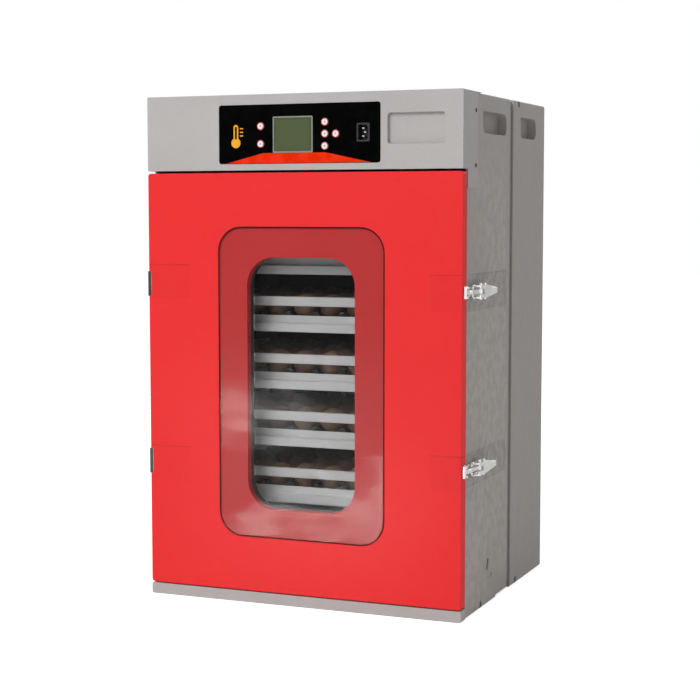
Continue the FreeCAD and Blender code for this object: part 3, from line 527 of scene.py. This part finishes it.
# ---------- header
polished("header_cover", "headerCover", "cabinet", headerGrain, 0.0003, 3)
polished("control_panel", "controlPanel", "cabinet", panelBlack, 0.0004)
polished("display_bezel", "displayBezel", "cabinet", bezelPlastic, 0.0003, 3)
polished("display_lens", "displayLens", "cabinet", displayFilm, 0.0002)
polished("power_inlet", "powerInlet", "cabinet", inletBlack, 0.0003, 3)
polished("inlet_pins", "inletPins", "cabinet", brassTinned, 0.0003, 3)
print("header ready")

keyLook = {"flange": 8, "flangeDepth": 1.2, "radius": 6.3, "disc": 4.9, "sunk": 0.3, "marks": 0.25,
           "bar": (1.6, 0.3), "barSteps": (-1.3, 0, 1.3), "arrow": 2.0, "ring": (1.1, 1.8), "dot": 1.3}
keyMarks = {"menu": "bars", "light": "ring", "up": "up", "set": "dot", "turn": "ring", "down": "down"}


# push key: red rim, white domed disc, one small pictogram
def makeKey(name, mark):
    low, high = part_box("button_" + name)
    x = (low.x + high.x) / 2
    z = (low.z + high.z) / 2
    front = low.y
    bm = bmesh.new()
    r = keyLook["radius"] * mm
    disc = keyLook["disc"] * mm
    toFront = (0, -1, 0)
    back = Vector((x, high.y, z))
    depth = high.y - front
    flange = keyLook["flange"] * mm
    flangeDepth = keyLook["flangeDepth"] * mm
    seat = depth - keyLook["sunk"] * mm
    rimTop = depth - 0.05 * mm
    addTurned(bm, [(0, 0), (flange, 0), (flange, flangeDepth), (r, flangeDepth), (r, depth - 0.6 * mm),
                   (r - 0.25 * mm, depth - 0.2 * mm), (r - 0.6 * mm, rimTop), (disc, rimTop), (disc, seat)],
              back, toFront, 40, 1)
    dome = [(disc, seat), (disc - 0.1 * mm, seat + 0.1 * mm), (disc * 0.6, seat + 0.17 * mm),
            (0, seat + 0.18 * mm)]
    addTurned(bm, dome, back, toFront, 40, 0)
    y0 = front
    y1 = front + keyLook["marks"] * mm
    if mark == "bars":
        wide, tall = keyLook["bar"]
        for step in keyLook["barSteps"]:
            addBox(bm, (x - wide * mm, y0, z + (step - tall) * mm),
                   (x + wide * mm, y1, z + (step + tall) * mm), 2)
    elif mark in ("up", "down"):
        made = addRod(bm, (x, y1, z), (x, y0, z), keyLook["arrow"] * mm, 3, 2)
        turn = Matrix.Rotation(pi if mark == "down" else 0, 3, "Y")
        bmesh.ops.rotate(bm, cent=(x, front, z), matrix=turn, verts=made)
    elif mark == "ring":
        inner, outer = (radius * mm for radius in keyLook["ring"])
        addTurned(bm, [(inner, 0), (inner, y1 - y0), (outer, y1 - y0), (outer, 0)],
                  (x, y1, z), toFront, 24, 2)
    else:
        addRod(bm, (x, y1, z), (x, y0, z), keyLook["dot"] * mm, 20, 2)
    finishPiece("key_" + name, bm, "body_button_" + name, (keyWhite, keyRing, keyMark),
                ("button_" + name,))


for name, mark in keyMarks.items():
    makeKey(name, mark)


# the thermometer sign lies left of and above these limits, the wedge is the rest
signLook = {"leftOf": -0.09, "above": 0.777}


# printed wedge and thermometer sign on the panel
def makeGraphics():
    bm = nodeCopy("panel_graphics")
    for face in bm.faces:
        middle = face.calc_center_median()
        if middle.x < signLook["leftOf"] and middle.z > signLook["above"]:
            face.material_index = 1
    finishPiece("panelPrint", bm, "cabinet", (accentPrint, amberPrint), ("panel_graphics",))


makeGraphics()


# slotted flange screws, blackened, two on each side of the header; each slot is a dark bar of painted shade,
# not a cut groove
screwLook = {"side": 287.75, "radius": 3.6, "proud": 1.35, "slot": 0.45}


def makeHeaderScrews():
    low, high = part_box("header_screws")
    radius = screwLook["radius"] * mm
    proud = screwLook["proud"] * mm
    slot = screwLook["slot"] * mm
    bm = bmesh.new()
    for side in (-1, 1):
        face = side * screwLook["side"] * mm
        for z in (low.z + radius, high.z - radius):
            seat = Vector((face, (low.y + high.y) / 2, z))
            addTurned(bm, [(0, 0), (radius, 0), (radius, proud * 0.35), (radius * 0.85, proud * 0.75),
                           (radius * 0.5, proud * 0.97), (0, proud)], seat, (side, 0, 0), 24, 0)
            near = face + side * proud * 0.6
            far = face + side * (proud + 0.02 * mm)
            # painted shade: a dark bar on the head where the slot's groove would lie in shade
            addBox(bm, (min(near, far), seat.y - slot, z - radius * 0.75),
                   (max(near, far), seat.y + slot, z + radius * 0.75), 1)
    finishPiece("headerScrews", bm, "cabinet", (screwBlack, paintedSlotShade), ("header_screws",))


makeHeaderScrews()
print("panel ready")

# ---------- door
polished("door_skin", "doorSkin", "door", doorRed, 0.0012, 3)
polished("door_liner", "doorLiner", "door", cabinetGrain, 0.0005)
polished("window_surround", "windowSurround", "door", surroundRed, 0.0006, 3)
polished("plug_frame", "plugFrame", "door", darkPlastic, 0.0008, 3)
polished("window_gasket", "windowGasket", "door", trimDark, 0.0004, 3)
polished("door_gasket", "doorGasket", "door", rubberBlack, 0.0012, 3)
polished("outer_pane", "outerPane", "door", outerGlass, 0)
polished("inner_pane", "innerPane", "door", innerGlass, 0)
hingeLook = {"screwMiddle": 0.6, "screwDepth": 0.8}
hinges = nodeCopy("door_hinges")
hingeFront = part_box("door_hinges")[0].y
for face in hinges.faces:
    nearFront = face.calc_center_median().y < hingeFront + hingeLook["screwMiddle"] * mm
    if nearFront and max(v.co.y for v in face.verts) < hingeFront + hingeLook["screwDepth"] * mm:
        face.material_index = 1
finishPiece("doorHinges", hinges, "door", (zincBright, screwBlack), ("door_hinges",),
            0.0003, 3)
polished("cabinet_hinges", "cabinetHinges", "cabinet", zincBright, 0.0004, 3)
print("door ready")

# ---------- latches
polished("latch_bases", "latchBases", "cabinet", zincBright, 0.0002)
polished("latch_keepers", "latchKeepers", "door", zincBright, 0.0004, 3)
for level in ("upper", "lower"):
    polished("lever_" + level, "latchLever_" + level, "latch_lever_" + level, chromeBright, 0)
    polished("hook_" + level, "latchHook_" + level, "latch_hook_" + level, chromeBright,
             0.0002)
print("latches ready")

# ---------- trays and eggs
trayLook = {"rollers": 9, "rows": 5, "columns": 8, "eggPoint": 33.0}


# rollers with necked ends and raised bands where the eggs turn
def makeRollers(number):
    node = "tray_rollers_%d" % number
    low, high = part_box(node)
    r = (high.z - low.z) / 2
    pitch = (high.x - low.x - 2 * r) / (trayLook["rollers"] - 1)
    length = high.y - low.y
    bm = bmesh.new()
    profile = [(0, 0), (0.5 * r, 0), (0.5 * r, 3 * mm), (r, 4 * mm), (r, 14 * mm), (0.86 * r, 15 * mm),
               (0.86 * r, length - 15 * mm), (r, length - 14 * mm), (r, length - 4 * mm),
               (0.5 * r, length - 3 * mm), (0.5 * r, length), (0, length)]
    for i in range(trayLook["rollers"]):
        addTurned(bm, profile, (low.x + r + i * pitch, low.y, low.z + r), (0, 1, 0), 16)
    finishPiece("trayRollers_%d" % number, bm, "drawer_%d" % number, rollerPlastic, (node,))


# one egg: a sphere whose far half is drawn out to a point, laid along the tray's depth
def addEgg(bm, centre, radius, point, around, along, tone, toneLayer):
    made = bmesh.ops.create_uvsphere(bm, u_segments=around, v_segments=along, radius=radius)["verts"]
    for vert in made:
        if vert.co.z > 0:
            vert.co.z *= point / radius
            vert.co.x *= 1 - 0.10 * (vert.co.z / point)
            vert.co.y *= 1 - 0.10 * (vert.co.z / point)
        vert[toneLayer] = tone
    bmesh.ops.rotate(bm, cent=(0, 0, 0), matrix=Matrix.Rotation(radians(-90), 3, "X"), verts=made)
    bmesh.ops.translate(bm, vec=centre, verts=made)


def makeEggs(number):
    node = "eggs_%d" % number
    low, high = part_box(node)
    radius = (high.z - low.z) / 2
    columns = trayLook["columns"]
    rows = trayLook["rows"]
    stepX = (high.x - low.x - 2 * radius) / (columns - 1)
    point = trayLook["eggPoint"] * mm
    stepY = (high.y - low.y - radius - point) / (rows - 1)
    for name, wanted, around, along in (("frontEggs", (0,), 22, 14), ("rearEggs", range(1, rows), 12, 8)):
        bm = bmesh.new()
        toneLayer = bm.verts.layers.float.new("eggTone")
        for row in wanted:
            for column in range(columns):
                size = radius * dice.uniform(0.94, 0.995)
                centre = (low.x + radius + column * stepX, low.y + radius + row * stepY,
                          (low.z + high.z) / 2 - (radius - size))
                addEgg(bm, centre, size, point * dice.uniform(0.9, 0.98), around, along, dice.random(),
                       toneLayer)
        finishPiece("%s_%d" % (name, number), bm, "drawer_%d" % number, eggshell, (node,),
                    angle=80)


for number in range(1, 6):
    polished("tray_%d" % number, "trayFrame_%d" % number, "drawer_%d" % number, trayPlastic,
             0.0008, 3)
    makeRollers(number)
    makeEggs(number)
polished("water_basin", "waterBasin", "basin", basinPlastic, 0.0008)
print("trays ready")

# ---------- air circulation and hidden pieces
polished("fan_frame", "fanFrame", "cabinet", darkPlastic, 0.0003)
polished("fan_rotor", "fanRotor", "rotor", darkPlastic, 0.0004)
polished("fan_guard", "fanGuard", "cabinet", zincBright, 0.0003)
polished("heater_ring", "heaterRing", "cabinet", steelSheath, 0.0)
polished("control_board", "controlBoard", "cabinet", circuitGreen, 0.0003)
for node in ("insulation", "door_foam"):
    nodes[node].data.materials.clear()
    nodes[node].data.materials.append(foamCream)
print("inside ready")


# ---------- floor, light and camera
def stagePlane(name, size, material):
    bm = bmesh.new()
    bmesh.ops.create_grid(bm, x_segments=1, y_segments=1, size=1)
    bmesh.ops.scale(bm, vec=(size[0] / 2, size[1] / 2, 1), verts=bm.verts)
    mesh = bpy.data.meshes.new(name)
    bm.to_mesh(mesh)
    bm.free()
    plane = bpy.data.objects.new(name, mesh)
    scene.collection.objects.link(plane)
    mesh.materials.append(material)
    return plane


def makeFloor():
    material, tree, shader = startMaterial("paleFloor", 0.8, Specular_IOR_Level=0.1)
    shader.inputs["Base Color"].default_value = (0.93, 0.93, 0.93, 1)
    shader.inputs["Emission Color"].default_value = (1, 1, 1, 1)
    path = shaderNode(tree, "ShaderNodeLightPath")
    wire(tree, mathNode(tree, "MULTIPLY", path.outputs["Is Camera Ray"], floorLook["lift"]),
         shader.inputs["Emission Strength"])
    under = shaderNode(tree, "ShaderNodeNewGeometry").outputs["Backfacing"]
    seenThrough = mathNode(tree, "MULTIPLY", under, path.outputs["Is Camera Ray"])
    blendShaders(tree, seenThrough, shader, shaderNode(tree, "ShaderNodeBsdfTransparent"),
                 tree.nodes["Material Output"])
    floor = stagePlane("studioFloor", (28, 28), material)
    floor.location.z = floorLook["drop"]


# soft card in front of the door that only the gloss of the window sees
def makeWindowCard():
    material = bpy.data.materials.new("paleCard")
    material.use_nodes = True
    tree = material.node_tree
    tree.nodes.clear()
    place = objectPlace(tree)
    axes = splitAxes(tree, place)
    drawn = stretchedPlace(tree, place, (1, 1, cardLook["streak"]), cardLook["tilt"])
    cloud = noise(tree, drawn, cardLook["cloud"], 5)
    edge = mathNode(tree, "ADD", mathNode(tree, "MULTIPLY", axes["X"], cardLook["slope"]), cardLook["rise"])
    wander = mathNode(tree, "MULTIPLY", mathNode(tree, "SUBTRACT", cloud, 0.5), 0.12)
    under = mathNode(tree, "SUBTRACT", mathNode(tree, "ADD", edge, wander), axes["Z"])
    low = mathNode(tree, "MULTIPLY", under, cardLook["softness"], clamp=True)
    x, z, wide, tall = cardLook["patch"]
    reach = [mathNode(tree, "POWER", mathNode(tree, "DIVIDE", distanceTo(tree, axes[axis], middle), half), 2)
             for axis, middle, half in (("X", x, wide), ("Z", z, tall))]
    spot = mathNode(tree, "SUBTRACT", 1.0, mathNode(tree, "ADD", *reach), clamp=True)
    wisps = risen(tree, cloud, 0.42, 6.0)
    mask = mathNode(tree, "MULTIPLY", mathNode(tree, "MAXIMUM", low, spot),
                    mathNode(tree, "ADD", mathNode(tree, "MULTIPLY", wisps, 0.75), 0.25), clamp=True)
    light = shaderNode(tree, "ShaderNodeEmission")
    light.inputs["Strength"].default_value = cardLook["power"]
    clear = shaderNode(tree, "ShaderNodeBsdfTransparent")
    blendShaders(tree, mask, clear, light, shaderNode(tree, "ShaderNodeOutputMaterial"))
    x0, x1, z0, z1 = cardLook["span"]
    turn = Matrix.Rotation(radians(90), 4, "X")
    stretch = Matrix.Diagonal((x1 - x0, 1, z1 - z0, 1))
    hangCard(stagePlane("windowCard", (1, 1), material),
             Matrix.Translation(((x0 + x1) / 2, cardLook["depth"], (z0 + z1) / 2)) @ stretch @ turn)


def hangCard(card, place):
    card.data.transform(place)
    for ray in ("camera", "diffuse", "transmission", "volume_scatter", "shadow"):
        setattr(card, "visible_" + ray, False)


# large bright card beside the cabinet, mirrored only in the metal of the latches
def makeSideCard():
    material, tree, shader = startMaterial("sideCard", 1.0, Specular_IOR_Level=0.0)
    shader.inputs["Base Color"].default_value = (0, 0, 0, 1)
    shader.inputs["Emission Color"].default_value = (1, 1, 1, 1)
    shader.inputs["Emission Strength"].default_value = sideCardLook["power"]
    turn = Matrix.Rotation(radians(90), 4, "Y")
    hangCard(stagePlane("sideCard", sideCardLook["size"], material),
             Matrix.Translation(sideCardLook["place"]) @ turn)


def makeLamp(name, place, target, side, power):
    lamp = bpy.data.lights.new(name, "AREA")
    lamp.shape = "SQUARE"
    lamp.size = side
    lamp.energy = power
    holder = bpy.data.objects.new(name, lamp)
    holder.location = place
    holder.rotation_euler = (Vector(target) - Vector(place)).to_track_quat("-Z", "Y").to_euler()
    scene.collection.objects.link(holder)


def makeWorld():
    world = bpy.data.worlds.new("studioWorld")
    scene.world = world
    world.use_nodes = True
    tree = world.node_tree
    back = tree.nodes["Background"]
    back.inputs["Color"].default_value = (1, 1, 1, 1)
    path = shaderNode(tree, "ShaderNodeLightPath")
    extra = mathNode(tree, "MULTIPLY", path.outputs["Is Camera Ray"], 1 - worldLook["fill"])
    strength = mathNode(tree, "ADD", extra, worldLook["fill"])
    wire(tree, strength, back.inputs["Strength"])


floorLook = {"lift": 0.72, "drop": -0.0003}
worldLook = {"fill": 0.37}
cardLook = {"span": (-0.46, 0.02, 0.005, 0.40), "depth": -0.70, "slope": 0.425, "rise": 0.220, "cloud": 11.0,
            "tilt": 14, "streak": 3.2, "softness": 20.0, "patch": (-0.32, 0.262, 0.17, 0.08), "power": 18.0}
sideCardLook = {"place": (2.6, -1.2, 1.0), "size": (2.4, 4.5), "power": 1.5}
lampLook = {
    "keyLamp": {"place": (-1.3, -4.0, 3.4), "target": (0, 0, 0.45), "side": 2.5, "power": 139},
    "rearLamp": {"place": (1.5, 4.0, 2.8), "target": (0, 0, 0.4), "side": 3.0, "power": 45},
}
cameraLook = {"place": (1.1248, -2.7501, 0.6782), "turn": (85.075, 0, 22.375), "lens": 84.24}
makeFloor()
makeWindowCard()
makeSideCard()
makeWorld()
for name, look in lampLook.items():
    makeLamp(name, look["place"], look["target"], look["side"], look["power"])
camera = bpy.data.cameras.new("studioCamera")
camera.lens = cameraLook["lens"]
camera.sensor_width = 36
eye = bpy.data.objects.new("studioCamera", camera)
eye.location = cameraLook["place"]
eye.rotation_euler = [radians(a) for a in cameraLook["turn"]]
scene.collection.objects.link(eye)
scene.camera = eye
print("stage ready")
